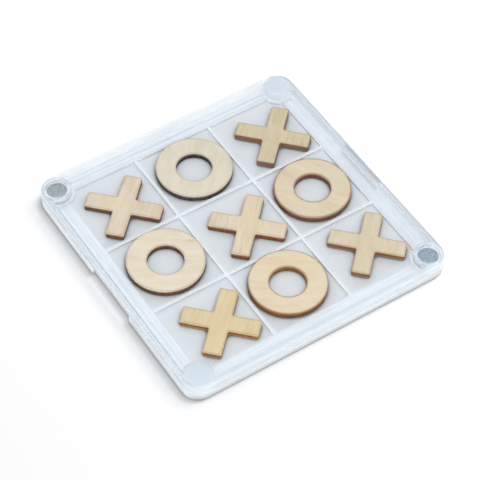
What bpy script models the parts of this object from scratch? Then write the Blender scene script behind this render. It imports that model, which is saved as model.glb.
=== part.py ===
"""Tic tac toe travel set: a clear two-part square case with a three by three
grid of pockets, two pairs of disc magnets in opposite corners, a white backing
card between the two halves, and nine plywood pieces (five crosses, four noughts).

Frame: origin at the centre of the underside, +Z up, sides parallel to X and Y.
Units are metres.
"""

import math

import bmesh
import bpy
from mathutils import Matrix

# ---------------------------------------------------------------- dimensions
MM = 0.001

# Whole case
SIDE = 90.0 * MM            # outside length and width
CORNER_R = 5.5 * MM         # outside corner radius
CORNER_CENTRE = SIDE / 2 - CORNER_R  # centre shared by the nested corner arcs, in X and in Y
HEIGHT = 6.3 * MM           # overall height of the closed case
PITCH = 26.47 * MM          # pocket to pocket distance

# Lower half
BASE_PLATE = 1.0 * MM       # thickness of the floor
BASE_TOP = 2.70 * MM        # top of the wall
BASE_INNER = 42.6 * MM      # half width of the hollow
BASE_INNER_R = BASE_INNER - CORNER_CENTRE
FOOT_ROUND = 0.30 * MM      # rounded bottom edge
NOTCH_LENGTH = 20.4 * MM    # thumb notch, one on each X side
NOTCH_DEPTH = 1.05 * MM
NOTCH_END_R = 1.0 * MM

# Upper half
FLANGE_BOTTOM = 2.95 * MM   # underside of the overhanging edge
TRAY_UNDER = 1.90 * MM      # underside of the floor
TRAY_BODY = 42.3 * MM       # half width of the part that nests in the base
TRAY_BODY_R = TRAY_BODY - CORNER_CENTRE
BODY_OVERLAP = 0.4 * MM     # how far the nesting part runs up into the flange
LAND = 3.70 * MM            # level of the ribs and of the flat border
RIM_INNER = 43.45 * MM      # half width inside the raised rim
RIM_INNER_R = RIM_INNER - CORNER_CENTRE
EDGE_ROUND = 0.45 * MM      # rounded top edge of the rim
POCKET_FLOOR = 2.90 * MM
POCKET_EDGE = 38.6 * MM     # half width of the whole three by three field
POCKET_EDGE_R = 0.6 * MM
RIB_WIDTH = 1.15 * MM

# Magnets
MAGNET_R = 3.10 * MM
MAGNET_T = 1.00 * MM
MAGNET_END_GAP = 0.15 * MM  # between a magnet and the closed end of its socket
MAGNET_SIDE_GAP = 0.25 * MM

# Corner bosses and their magnet sockets
BOSS_AT = 40.1 * MM         # boss centre, from the middle, in X and in Y
BOSS_R = 4.35 * MM
BOSS_CLEAR_R = 4.70 * MM    # cut-out round a base boss
BOSS_LAND_R = 5.40 * MM     # ring of land kept round a boss in a corner pocket
SOCKET_R = MAGNET_R + MAGNET_SIDE_GAP
TRAY_SOCKET_TOP = 4.30 * MM
BASE_SOCKET_FLOOR = 1.40 * MM

# Undersides of the upper and of the lower magnets
TRAY_MAGNET_Z = TRAY_SOCKET_TOP - MAGNET_END_GAP - MAGNET_T
BASE_MAGNET_Z = BASE_SOCKET_FLOOR + MAGNET_END_GAP

# Backing card
CARD_HALF = 40.7 * MM
CARD_BOTTOM = 1.28 * MM
CARD_TOP = 1.60 * MM

# Game pieces
PIECE_GAP = 0.20 * MM       # between a piece and the pocket floor
PIECE_T = 2.00 * MM         # plywood thickness
PIECE_MID = POCKET_FLOOR + PIECE_GAP + PIECE_T / 2
NOUGHT_R = 11.80 * MM
NOUGHT_HOLE_R = 5.53 * MM
CROSS_LENGTH = 23.30 * MM
CROSS_ARM = 5.55 * MM       # width of an arm
CROSS_OUTER_R = 0.45 * MM   # rounding of the arm ends
CROSS_INNER_R = 0.60 * MM   # rounding where two arms meet

# name, x and y in pitches from the middle, turn in degrees
CROSSES = (
    ("cross_1", 1.055, 0.918, 44.6),
    ("cross_2", -0.973, 0.925, 44.9),
    ("cross_3", 0.061, -0.061, 45.7),
    ("cross_4", 1.054, -0.993, 44.6),
    ("cross_5", -0.925, -1.033, 44.6),
)
# name, x and y in pitches from the middle
NOUGHTS = (
    ("nought_1", 0.006, 0.988),
    ("nought_2", 0.989, 0.000),
    ("nought_3", -0.985, 0.006),
    ("nought_4", -0.006, -0.975),
)

# Signs of X and Y at each corner
CORNERS = ((-1, -1), (1, -1), (1, 1), (-1, 1))
MAGNET_CORNERS = ((-1, 1), (1, -1))

# Segment counts
ARC_STEPS = 8               # upright corners
SMALL_ARC_STEPS = 3         # upright corners of the pockets and notches
EDGE_STEPS = 3              # rounded top and bottom edges
FILLET_STEPS = 4            # corners of a cross
DRUM_STEPS = 48
SOCKET_STEPS = 40
NOUGHT_STEPS = 72

SHARP_ANGLE = math.radians(35.0)  # steeper edges stay sharp under smooth shading
LEVEL_TOLERANCE = 1e-7      # for picking out the edges at one level
CROSS_WELD = 1e-7           # merge distances
NOUGHT_WELD = 1e-5


# ---------------------------------------------------------------- scene set-up
def clear_scene():
    for obj in list(bpy.data.objects):
        bpy.data.objects.remove(obj, do_unlink=True)


def new_collection(name):
    made = bpy.data.collections.new(name)
    bpy.context.scene.collection.children.link(made)
    return made


clear_scene()
SET = new_collection("tic_tac_toe_set")
CUTTERS = new_collection("cutters")


# ---------------------------------------------------------------- materials
def principled(name, colour, roughness, metallic=0.0, alpha=1.0, transmission=0.0):
    made = bpy.data.materials.new(name)
    made.use_nodes = True
    inputs = made.node_tree.nodes["Principled BSDF"].inputs
    inputs["Base Color"].default_value = (*colour, 1.0)
    inputs["Roughness"].default_value = roughness
    inputs["Metallic"].default_value = metallic
    inputs["Alpha"].default_value = alpha
    inputs["Transmission Weight"].default_value = transmission
    inputs["IOR"].default_value = 1.49
    made.diffuse_color = (*colour, alpha)
    return made


def clear_plastic(name, colour, roughness):
    return principled(name, colour, roughness, alpha=0.35, transmission=1.0)


CLEAR_BASE = clear_plastic("clear_base", colour=(0.90, 0.93, 0.96), roughness=0.06)
CLEAR_TRAY = clear_plastic("clear_tray", colour=(0.90, 0.93, 0.97), roughness=0.05)
CARD = principled("card", colour=(0.86, 0.87, 0.90), roughness=0.80)
NICKEL = principled("magnet_nickel", colour=(0.42, 0.45, 0.48), roughness=0.35, metallic=1.0)
PLYWOOD = principled("birch_plywood", colour=(0.74, 0.62, 0.44), roughness=0.65)


# ---------------------------------------------------------------- shape tools
def block_mesh(half_x, half_y, bottom, top, corner_r=0.0, top_round=0.0, foot_round=0.0,
               centre=(0.0, 0.0), steps=ARC_STEPS):
    """A block with rounded upright edges, and with rounded top and bottom edges if asked."""
    bm = bmesh.new()
    bmesh.ops.create_cube(bm, size=1.0)
    height = top - bottom
    bmesh.ops.scale(bm, vec=(2 * half_x, 2 * half_y, height), verts=bm.verts[:])
    bmesh.ops.translate(bm, vec=(*centre, (bottom + top) / 2), verts=bm.verts[:])

    def round_edges(edges, radius, segments):
        bmesh.ops.bevel(bm, geom=edges, offset=radius, offset_type="OFFSET",
                        segments=segments, profile=0.5, affect="EDGES", clamp_overlap=False)

    if corner_r:
        upright = [edge for edge in bm.edges
                   if abs(edge.verts[0].co.z - edge.verts[1].co.z) > height / 2]
        round_edges(upright, corner_r, steps)
    for level, radius in ((top, top_round), (bottom, foot_round)):
        if radius:
            # Only the outline of the flat face, where it meets the upright walls.
            outline = [edge for edge in bm.edges
                       if all(abs(vert.co.z - level) < LEVEL_TOLERANCE for vert in edge.verts)
                       and any(abs(face.normal.z) < 0.5 for face in edge.link_faces)]
            round_edges(outline, radius, EDGE_STEPS)
    return bm


def drum_mesh(radius, bottom, top, centre, steps=DRUM_STEPS):
    bm = bmesh.new()
    bmesh.ops.create_cone(bm, cap_ends=True, segments=steps, radius1=radius,
                          radius2=radius, depth=top - bottom)
    bmesh.ops.translate(bm, vec=(*centre, (bottom + top) / 2), verts=bm.verts[:])
    return bm


def to_object(bm, name, collection, origin=(0.0, 0.0, 0.0)):
    """An object from bm, whose points are in world space, with its origin at `origin`."""
    bmesh.ops.recalc_face_normals(bm, faces=bm.faces[:])
    bm.transform(Matrix.Translation(origin).inverted())
    mesh = bpy.data.meshes.new(name)
    bm.to_mesh(mesh)
    bm.free()
    obj = bpy.data.objects.new(name, mesh)
    obj.location = origin
    collection.objects.link(obj)
    return obj


def part(bm, name, material, origin=(0.0, 0.0, 0.0)):
    obj = to_object(bm, name, SET, origin)
    obj.data.materials.append(material)
    return obj


def helper(bm, name):
    """A hidden object for a boolean to use."""
    obj = to_object(bm, name, CUTTERS)
    obj.hide_render = True
    obj.display_type = "WIRE"
    return obj


def block(name, *args, **kwargs):
    return helper(block_mesh(*args, **kwargs), name)


def combine(obj, other, operation):
    mod = obj.modifiers.new(f"{operation.lower()}_{other.name}", "BOOLEAN")
    mod.operation = operation
    mod.solver = "EXACT"
    mod.object = other


def cut(obj, cutter):
    combine(obj, cutter, "DIFFERENCE")


def corner_at(corner):
    return corner[0] * BOSS_AT, corner[1] * BOSS_AT


def cut_corners(obj, prefix, radius, bottom, top, steps=DRUM_STEPS):
    """Cut a drum out of obj at each of the four boss centres."""
    for i, corner in enumerate(CORNERS):
        drum = drum_mesh(radius, bottom, top, corner_at(corner), steps)
        cut(obj, helper(drum, f"{prefix}_{i}"))


def smooth(obj):
    obj.data.shade_smooth()
    obj.data.set_sharp_from_angle(angle=SHARP_ANGLE)


# Cutters run one to three millimetres past the open faces they cut, and the
# drums run past the blocks they are taken from, so that no faces coincide there.

# ---------------------------------------------------------------- lower half
def make_base():
    base = part(block_mesh(SIDE / 2, SIDE / 2, 0.0, BASE_TOP, CORNER_R, foot_round=FOOT_ROUND),
                "base_shell", CLEAR_BASE)

    # The bosses stay standing in the hollow, so they are kept out of its cutter.
    hollow = block("base_hollow", BASE_INNER, BASE_INNER, BASE_PLATE, BASE_TOP + 2 * MM,
                   BASE_INNER_R)
    cut_corners(hollow, "base_boss", BOSS_R, BASE_PLATE - MM, BASE_TOP + 3 * MM)
    cut(base, hollow)
    cut_corners(base, "base_socket", SOCKET_R, BASE_SOCKET_FLOOR, BASE_TOP + MM, SOCKET_STEPS)

    for i, side in enumerate((-1, 1)):
        cut(base, block(f"thumb_notch_{i}", NOTCH_DEPTH, NOTCH_LENGTH / 2, -MM, BASE_TOP + MM,
                        NOTCH_END_R, centre=(side * SIDE / 2, 0.0), steps=SMALL_ARC_STEPS))


# ---------------------------------------------------------------- upper half
def tray_body():
    """The part below the flange, cleared round the base bosses."""
    body = block("tray_body", TRAY_BODY, TRAY_BODY, TRAY_UNDER, FLANGE_BOTTOM + BODY_OVERLAP,
                 TRAY_BODY_R)
    cut_corners(body, "boss_clearance", BOSS_CLEAR_R, TRAY_UNDER - MM, FLANGE_BOTTOM)
    return body


def rim_recess():
    """The space inside the rim, less the corner bosses."""
    recess = block("rim_recess", RIM_INNER, RIM_INNER, LAND, HEIGHT + 2 * MM, RIM_INNER_R)
    cut_corners(recess, "tray_boss", BOSS_R, LAND - MM, HEIGHT + 3 * MM)
    return recess


def pocket_field():
    """The nine pockets, less the ribs between them and the land round the bosses."""
    pockets = block("pockets", POCKET_EDGE, POCKET_EDGE, POCKET_FLOOR, LAND + MM,
                    POCKET_EDGE_R, steps=SMALL_ARC_STEPS)
    bottom, top = POCKET_FLOOR - MM, LAND + 2 * MM
    for i, side in enumerate((-0.5, 0.5)):
        cut(pockets, block(f"rib_x_{i}", RIB_WIDTH / 2, SIDE / 2, bottom, top,
                           centre=(side * PITCH, 0.0)))
        cut(pockets, block(f"rib_y_{i}", SIDE / 2, RIB_WIDTH / 2, bottom, top,
                           centre=(0.0, side * PITCH)))
    cut_corners(pockets, "boss_land", BOSS_LAND_R, bottom, top)
    return pockets


def make_tray():
    tray = part(block_mesh(SIDE / 2, SIDE / 2, FLANGE_BOTTOM, HEIGHT, CORNER_R,
                           top_round=EDGE_ROUND),
                "grid_tray", CLEAR_TRAY)
    combine(tray, tray_body(), "UNION")
    cut(tray, rim_recess())
    cut(tray, pocket_field())
    cut_corners(tray, "tray_socket", SOCKET_R, FLANGE_BOTTOM - 2 * MM, TRAY_SOCKET_TOP,
                SOCKET_STEPS)


# ---------------------------------------------------------------- card and magnets
def make_card():
    card = part(block_mesh(CARD_HALF, CARD_HALF, CARD_BOTTOM, CARD_TOP), "backing_card", CARD)
    cut_corners(card, "card_corner", BOSS_CLEAR_R, CARD_BOTTOM - MM, CARD_TOP + MM)


def make_magnets():
    for bottom, prefix in ((TRAY_MAGNET_Z, "tray_magnet"), (BASE_MAGNET_Z, "base_magnet")):
        for number, corner in enumerate(MAGNET_CORNERS, start=1):
            centre = corner_at(corner)
            smooth(part(drum_mesh(MAGNET_R, bottom, bottom + MAGNET_T, centre),
                        f"{prefix}_{number}", NICKEL, origin=(*centre, bottom + MAGNET_T / 2)))


# ---------------------------------------------------------------- game pieces
def place_piece(name, mesh, x, y):
    """Lay a plywood piece in the grid, x and y pitches from the middle."""
    mesh.materials.append(PLYWOOD)
    obj = bpy.data.objects.new(name, mesh)
    obj.location = (x * PITCH, y * PITCH, PIECE_MID)
    SET.objects.link(obj)
    return obj


def unit_towards(start, end):
    dx, dy = end[0] - start[0], end[1] - start[1]
    length = math.hypot(dx, dy)
    return dx / length, dy / length


def fillet(before, corner, after, radius):
    """Points of the arc that rounds one right-angled corner of an outline."""
    back_x, back_y = unit_towards(corner, before)
    on_x, on_y = unit_towards(corner, after)
    # At a right angle the tangent length is the radius.
    centre_x = corner[0] + (back_x + on_x) * radius
    centre_y = corner[1] + (back_y + on_y) * radius
    points = []
    for k in range(FILLET_STEPS + 1):
        angle = math.pi / 2 * k / FILLET_STEPS
        cos, sin = math.cos(angle), math.sin(angle)
        points.append((centre_x - radius * (on_x * cos + back_x * sin),
                       centre_y - radius * (on_y * cos + back_y * sin)))
    return points


def cross_outline():
    reach, half_arm = CROSS_LENGTH / 2, CROSS_ARM / 2
    # Each arm gives its two end corners, then the inner corner it shares with the next arm.
    arm = (
        (reach, -half_arm, CROSS_OUTER_R),
        (reach, half_arm, CROSS_OUTER_R),
        (half_arm, half_arm, CROSS_INNER_R),
    )
    corners = []
    for quarter in range(4):
        cos, sin = math.cos(quarter * math.pi / 2), math.sin(quarter * math.pi / 2)
        corners += [(cos * x - sin * y, sin * x + cos * y, radius) for x, y, radius in arm]
    outline = []
    for k, corner in enumerate(corners):
        outline += fillet(corners[k - 1], corner, corners[(k + 1) % len(corners)], corner[2])
    return outline


def cross_mesh(name):
    """The cross outline, filled and extruded by a temporary curve."""
    curve = bpy.data.curves.new(name + "_outline", "CURVE")
    curve.dimensions = "2D"
    curve.fill_mode = "BOTH"
    curve.extrude = PIECE_T / 2
    outline = cross_outline()
    spline = curve.splines.new("POLY")
    spline.points.add(len(outline) - 1)
    for point, (x, y) in zip(spline.points, outline):
        point.co = (x, y, 0.0, 1.0)
    spline.use_cyclic_u = True
    guide = bpy.data.objects.new(name + "_guide", curve)
    CUTTERS.objects.link(guide)
    bpy.context.view_layer.update()
    graph = bpy.context.evaluated_depsgraph_get()
    mesh = bpy.data.meshes.new_from_object(guide.evaluated_get(graph))
    mesh.name = name
    bpy.data.objects.remove(guide, do_unlink=True)

    # The curve leaves its faces and sides unjoined.
    bm = bmesh.new()
    bm.from_mesh(mesh)
    bmesh.ops.remove_doubles(bm, verts=bm.verts[:], dist=CROSS_WELD)
    bmesh.ops.recalc_face_normals(bm, faces=bm.faces[:])
    bm.to_mesh(mesh)
    bm.free()
    mesh.materials.clear()
    return mesh


def make_cross(name, x, y, turn):
    cross = place_piece(name, cross_mesh(name), x, y)
    cross.rotation_euler = (0.0, 0.0, math.radians(turn))
    smooth(cross)


def make_nought(name, x, y):
    """A rectangular section turned about Z."""
    half = PIECE_T / 2
    section = [(NOUGHT_R, 0.0, half), (NOUGHT_R, 0.0, -half),
               (NOUGHT_HOLE_R, 0.0, -half), (NOUGHT_HOLE_R, 0.0, half)]
    mesh = bpy.data.meshes.new(name)
    mesh.from_pydata(section, [(0, 1), (1, 2), (2, 3), (3, 0)], [])
    screw = place_piece(name, mesh, x, y).modifiers.new("turn", "SCREW")
    screw.angle = 2 * math.pi
    screw.steps = screw.render_steps = NOUGHT_STEPS
    screw.use_merge_vertices = True
    screw.merge_threshold = NOUGHT_WELD
    screw.use_smooth_shade = False


make_base()
make_card()
make_tray()
make_magnets()
for entry in CROSSES:
    make_cross(*entry)
for entry in NOUGHTS:
    make_nought(*entry)
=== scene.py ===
"""Looks of a tic tac toe set: a clear two-part case with wooden noughts and crosses.

The case lies flat and centred on the origin, its underside at z = 0. Near is -Y, far is +Y,
right is +X. The base carries the card, the tray above it has nine pockets for the pieces, and
two opposite corners (x * y < 0) hold magnets. Lengths are in metres, through MM.
"""

import math
from functools import cache

import bmesh
import bpy
from mathutils import Matrix, Vector, noise


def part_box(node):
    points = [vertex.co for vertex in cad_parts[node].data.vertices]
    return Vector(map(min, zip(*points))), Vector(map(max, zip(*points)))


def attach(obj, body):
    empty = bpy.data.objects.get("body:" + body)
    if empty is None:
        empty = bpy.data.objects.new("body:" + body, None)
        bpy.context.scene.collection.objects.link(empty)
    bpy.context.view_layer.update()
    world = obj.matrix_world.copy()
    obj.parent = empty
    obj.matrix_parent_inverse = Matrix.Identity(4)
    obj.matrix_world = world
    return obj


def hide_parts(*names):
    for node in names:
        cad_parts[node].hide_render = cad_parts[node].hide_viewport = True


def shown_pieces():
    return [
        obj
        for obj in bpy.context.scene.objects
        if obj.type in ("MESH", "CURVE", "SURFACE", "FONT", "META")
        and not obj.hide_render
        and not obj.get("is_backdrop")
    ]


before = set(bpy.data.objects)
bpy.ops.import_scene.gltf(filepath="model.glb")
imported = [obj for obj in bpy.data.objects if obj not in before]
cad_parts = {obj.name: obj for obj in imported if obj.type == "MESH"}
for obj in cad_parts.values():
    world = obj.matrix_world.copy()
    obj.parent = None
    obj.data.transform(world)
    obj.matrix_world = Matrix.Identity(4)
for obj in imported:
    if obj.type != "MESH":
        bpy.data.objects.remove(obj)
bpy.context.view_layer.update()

MM = 0.001
scene = bpy.context.scene
scene.view_settings.view_transform = "Standard"
scene.view_settings.look = "None"
scene.view_settings.exposure = 0.0
scene.view_settings.gamma = 1.0

# ------------------------------------------------------------------ sizes
tray_lo, tray_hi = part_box("grid_tray")
_, base_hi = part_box("base_shell")
card_lo, card_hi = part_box("backing_card")
magnet_lo, magnet_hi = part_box("tray_magnet_1")
piece_lo, piece_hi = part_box("cross_1")

# Case outline
HALF = tray_hi.x
HEIGHT = tray_hi.z
CORNER_R = 5.5 * MM
CORNER_CENTRE = 39.5 * MM        # the inner corners are rounded about this same x and y

# Base
BASE_TOP = base_hi.z
BASE_PLATE = 1.0 * MM
BASE_INNER = 42.6 * MM
BASE_INNER_R = BASE_INNER - CORNER_CENTRE
BASE_SOCKET_FLOOR = 1.40 * MM
NOTCH_DEPTH = 1.05 * MM          # notches in the left and right sides
NOTCH_HALF_WIDTH = 10.2 * MM
NOTCH_R = 1.0 * MM

# Tray
TRAY_UNDER = tray_lo.z
FLANGE_BOTTOM = 2.95 * MM
TRAY_BODY = 42.3 * MM
TRAY_BODY_R = TRAY_BODY - CORNER_CENTRE
LAND = 3.70 * MM                 # level of the rib tops
RIM_INNER = 43.45 * MM
RIM_INNER_R = RIM_INNER - CORNER_CENTRE
POCKET_FLOOR = 2.90 * MM
POCKET_EDGE = 38.6 * MM
POCKET_R = 0.6 * MM
PITCH = 26.47 * MM
RIB_WIDTH = 1.15 * MM
TRAY_SOCKET_TOP = 4.30 * MM

# Corner bosses
BOSS_AT = (magnet_hi.y + magnet_lo.y) / 2
BOSSES = [(x * BOSS_AT, y * BOSS_AT) for x, y in ((-1, -1), (1, -1), (1, 1), (-1, 1))]
BOSS_R = 4.35 * MM
BOSS_CLEAR_R = 4.70 * MM
BOSS_LAND_R = 5.40 * MM
SOCKET_R = 3.35 * MM

# Wooden pieces
REST_DROP = 0.16 * MM            # takes each piece down over the gap left under the CAD solid
PIECE_FOOT = piece_lo.z - REST_DROP
PIECE_ROUND = 0.13 * MM
FACE_INSETS = (0.30 * MM, 0.60 * MM, 1.0 * MM)   # extra rows on a face, in from the cut line
WALL_SHARES = (0.75, 0.5, 0.25)  # heights of the rows on a cut edge
NOUGHT_HOLE_R = 5.53 * MM
NOUGHT_STEPS = 160
CROSS_LENGTH = 23.30 * MM
CROSS_ARM = 5.55 * MM
CROSS_TIP_R = 0.45 * MM
CROSS_TIP_R_MIN = 0.08 * MM
CROSS_CROTCH_R = 0.60 * MM
CROSS_ARC_STEPS = 7

# Magnets
MAGNET_ROUND = 0.12 * MM
MAGNET_STEPS = 72


# ------------------------------------------------------------------ node helpers
class Net:
    """Makes and links the shader nodes of a material or a world.

    Any input is given as a plain value or as the output socket that feeds it.
    """

    def __init__(self, owner):
        owner.use_nodes = True
        self.owner = owner
        self.tree = owner.node_tree
        self.tree.nodes.clear()

    def feed(self, slot, value):
        if isinstance(value, bpy.types.NodeSocket):
            self.tree.links.new(value, slot)
        elif slot.type == "RGBA":
            slot.default_value = (*value, 1.0)
        else:
            slot.default_value = value

    def new(self, kind, inputs=None, **settings):
        node = self.tree.nodes.new(kind)
        for key, value in settings.items():
            setattr(node, key, value)
        for key, value in (inputs or {}).items():
            self.feed(node.inputs[key], value)
        return node

    def out(self, kind, inputs=None, socket=0, **settings):
        """The given output of a new node."""
        return self.new(kind, inputs, **settings).outputs[socket]

    def place(self):
        return self.out("ShaderNodeTexCoord", socket="Object")

    def split(self, vector):
        return tuple(self.new("ShaderNodeSeparateXYZ", {0: vector}).outputs)

    def math(self, operation, *values, clamp=False):
        return self.out("ShaderNodeMath", dict(enumerate(values)), operation=operation,
                        use_clamp=clamp)

    def plus(self, a, b):
        return self.math("ADD", a, b)

    def minus(self, a, b):
        return self.math("SUBTRACT", a, b)

    def times(self, a, b):
        return self.math("MULTIPLY", a, b)

    def over(self, a, b):
        return self.math("DIVIDE", a, b)

    def ramp(self, fac, stops):
        """A linear ramp; stops are (position, colour or grey level)."""
        node = self.new("ShaderNodeValToRGB")
        elements = node.color_ramp.elements
        while len(elements) < len(stops):
            elements.new(0.5)
        for element, (position, colour) in zip(elements, stops):
            if not isinstance(colour, tuple):
                colour = (colour,) * 3
            element.position = position
            element.color = (*colour, 1.0)
        self.feed(node.inputs[0], fac)
        return node.outputs[0]

    def mix(self, fac, a, b, blend="MIX"):
        # inputs 6 and 7 and output 2 are the colour sockets of the node
        return self.out("ShaderNodeMix", {0: fac, 6: a, 7: b}, socket=2,
                        data_type="RGBA", blend_type=blend)

    def multiply(self, a, b):
        return self.mix(1.0, a, b, "MULTIPLY")

    def mix_shader(self, fac, a, b):
        return self.out("ShaderNodeMixShader", {0: fac, 1: a, 2: b})

    def mapping(self, source, scale=(1, 1, 1), rotation=(0, 0, 0), location=(0, 0, 0)):
        return self.out("ShaderNodeMapping", {"Vector": source, "Scale": scale,
                                              "Rotation": rotation, "Location": location})

    def noise(self, vector, scale, detail=2.0, roughness=0.5, distortion=0.0):
        return self.out("ShaderNodeTexNoise",
                        {"Vector": vector, "Scale": scale, "Detail": detail,
                         "Roughness": roughness, "Distortion": distortion}, socket="Fac")

    def bump(self, height, strength, distance):
        return self.out("ShaderNodeBump",
                        {"Height": height, "Strength": strength, "Distance": distance})

    def occlusion(self, distance, **settings):
        return self.out("ShaderNodeAmbientOcclusion", {"Distance": distance}, socket="AO",
                        samples=16, **settings)

    def output(self, shader, kind="ShaderNodeOutputMaterial"):
        self.new(kind, {"Surface": shader})
        return self.owner


def material_net(name):
    return Net(bpy.data.materials.new(name))


def toned(colour, factors):
    return tuple(min(1.0, level * factor) for level, factor in zip(colour, factors))


def dimmed(colour, factor):
    return toned(colour, (factor,) * 3)


def blended(start, end, share):
    return tuple(a + (b - a) * share for a, b in zip(start, end))


# ------------------------------------------------------------------ areas of the clear plastic
BOSS_SPAN = 10.0 * MM    # distances from a boss axis are taken as shares of this
SIDE_SPAN = 50.0 * MM    # and distances along x and y as shares of this


class Spot:
    """Measures of the shaded point; the cached ones are nodes shared by all that ask."""

    def __init__(self, net, where):
        self.net = net
        self.where = where

    @cache
    def axes(self):
        return self.net.split(self.where)

    @cache
    def sizes(self):
        x, y, _ = self.axes()
        return self.net.math("ABSOLUTE", x), self.net.math("ABSOLUTE", y)

    @cache
    def boss_share(self):
        net = self.net
        x, y = (net.minus(size, BOSS_AT) for size in self.sizes())
        distance = net.math("SQRT", net.plus(net.times(x, x), net.times(y, y)))
        return net.over(distance, BOSS_SPAN)

    def side_share(self):
        return self.net.over(self.net.math("MAXIMUM", *self.sizes()), SIDE_SPAN)

    def far_or_right_share(self):
        x, y, _ = self.axes()
        return self.net.over(self.net.math("MAXIMUM", x, y), SIDE_SPAN)

    def right_share(self):
        return self.net.over(self.axes()[0], SIDE_SPAN)

    def far_share(self):
        return self.net.over(self.axes()[1], SIDE_SPAN)

    def near_share(self):
        return self.net.over(self.axes()[1], -SIDE_SPAN)

    def magnet_corners(self):
        x, y, _ = self.axes()
        return self.net.math("LESS_THAN", self.net.times(x, y), 0.0)

    def plain_corners(self):
        x, y, _ = self.axes()
        return self.net.math("GREATER_THAN", self.net.times(x, y), 0.0)

    def notch_width(self):
        net = self.net
        off = net.math("ABSOLUTE", net.plus(self.axes()[1], 1.0 * MM))
        return net.ramp(net.over(off, SIDE_SPAN), [(0.176, 1.0), (0.188, 0.0)])


def window(low, high, fade=0.003):
    """Ramp stops that are 1 from low to high and 0 outside."""
    return [(low - fade, 0.0), (low, 1.0), (high, 1.0), (high + fade, 0.0)]


# area: (measure, ramp stops over the measure, a second mask to multiply by)
AREAS = {
    "boss": (Spot.boss_share, [(0.40, 1.0), (0.44, 0.0)], None),
    "boss_ring": (Spot.boss_share, [(0.335, 0.0), (0.355, 1.0), (0.41, 1.0), (0.44, 0.0)],
                  Spot.magnet_corners),
    "socket_ring": (Spot.boss_share, [(0.300, 0.0), (0.314, 1.0)], None),
    "plain_boss": (Spot.boss_share, [(0.36, 1.0), (0.44, 0.0)], Spot.plain_corners),
    "field": (Spot.side_share, [(0.766, 1.0), (0.776, 0.0)], None),
    "by_rim": (Spot.side_share, [(0.822, 0.0), (0.834, 1.0)], None),
    "far_edge": (Spot.far_or_right_share,
                 [(0.770, 0.0), (0.776, 1.0), (0.788, 1.0), (0.796, 0.0)], None),
    # the side areas take lighter and darker copies of the plastic, painted light and shade
    "right_side": (Spot.right_share, [(0.862, 0.0), (0.872, 1.0)], None),
    "far_side": (Spot.far_share, [(0.862, 0.0), (0.872, 1.0)], None),
    "near_side": (Spot.near_share, [(0.862, 0.0), (0.868, 1.0)], None),
    # painted shade: grey bands over and beside the right notch of the base, where the shaded notch
    # shows through the rim
    "right_edge": (Spot.right_share, window(0.875, 0.920), None),
    "right_notch": (Spot.right_share, window(0.852, 0.889), Spot.notch_width),
    "notch_line": (Spot.right_share, window(0.848, 0.866), Spot.notch_width),
}


def area_mask(net, spot, area_name):
    measure, stops, second = AREAS[area_name]
    mask = net.ramp(measure(spot), stops)
    return net.times(mask, second(spot)) if second else mask


# ------------------------------------------------------------------ clear plastic
PLASTIC_IOR = 1.49
PLASTIC_TINT = (0.975, 0.99, 1.0)
FOOT_HEIGHT = 3.0 * MM


def glass_shader(net, fine, broad, roughness):
    colour = net.mix(broad, PLASTIC_TINT, dimmed(PLASTIC_TINT, 1.02))
    return net.out("ShaderNodeBsdfPrincipled", {
        "Transmission Weight": 1.0,
        "IOR": PLASTIC_IOR,
        "Roughness": net.plus(net.times(fine, 0.03), roughness),
        "Base Color": colour,
        "Normal": net.bump(broad, strength=0.02, distance=0.4 * MM),
    })


def foot_shade(net, share, facing_y, milky, foot):
    """(front mask, clearness lost from the foot up, colour); share is the height over the foot.
    The colour is painted shade, darker towards the bottom edge and on walls that face the near
    side.
    """
    front = net.ramp(net.times(facing_y, -1.0), [(0.30, 0.0), (0.80, 1.0)])
    # painted contact shade: the foot colours take over towards the bottom edge, over a taller band
    # on the walls facing the near side
    low_side = net.ramp(share, [(0.03, 0.0), (0.10, 0.55), (0.22, 0.92), (0.45, 1.0)])
    low_front = net.ramp(share, [(0.02, 0.0), (0.20, 0.30), (0.42, 0.68), (0.75, 1.0)])
    low = net.mix(front, low_side, low_front)
    # painted shade: the milky colour of walls facing the near side is darkened
    milky = net.mix(front, milky, net.multiply(milky, (0.86, 0.87, 0.88)))
    return front, low, net.mix(low, net.mix(front, foot["sides"], foot["front"]), milky)


def painted_reflection_streaks(net, spot):
    """Noise drawn out into lines along the sides, for painted reflection streaks of dark and
    light.
    """
    x, y, z = spot.axes()
    across = net.math("MAXIMUM", *spot.sizes())
    along = net.times(net.minus(x, y), 0.035)
    line = net.out("ShaderNodeCombineXYZ", {0: across, 1: along, 2: z})
    return net.noise(line, scale=1500.0, roughness=0.55)


def pocket_shade(net, spot, milky):
    """Tinge, painted contact shade of the loose pieces, and painted light and shade in bands along
    the ribs.
    """
    tinge = net.noise(spot.where, scale=150.0)
    milky = net.multiply(milky, net.ramp(tinge, [
        (0.36, (0.945, 0.985, 0.985)), (0.50, (0.985, 0.995, 0.995)), (0.64, (1.0, 1.0, 1.0))]))
    # painted contact shade: all occlusion, over that of the moulding itself, darkens the colour
    near = net.occlusion(1.7 * MM)
    alone = net.occlusion(1.7 * MM, only_local=True)
    contact = net.math("DIVIDE", near, net.math("MAXIMUM", alone, 0.2), clamp=True)
    milky = net.multiply(milky, net.ramp(contact, [
        (0.42, (0.20, 0.19, 0.19)), (0.56, (0.66, 0.67, 0.69)),
        (0.72, (0.92, 0.93, 0.94)), (0.88, (1.0, 1.0, 1.0))]))
    for axis in spot.axes()[:2]:
        # 0 and 1 are the middles of two neighbouring ribs; painted light along one side of each
        # rib and painted shade along the other
        across = net.math("FRACT", net.plus(net.over(axis, PITCH), 10.5))
        milky = net.multiply(milky, net.ramp(across, [
            (0.0, 1.0), (0.030, 1.0), (0.062, 0.88), (0.5, 0.88),
            (0.935, 0.88), (0.965, 0.80), (0.98, 0.78)]))
    return milky


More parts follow.
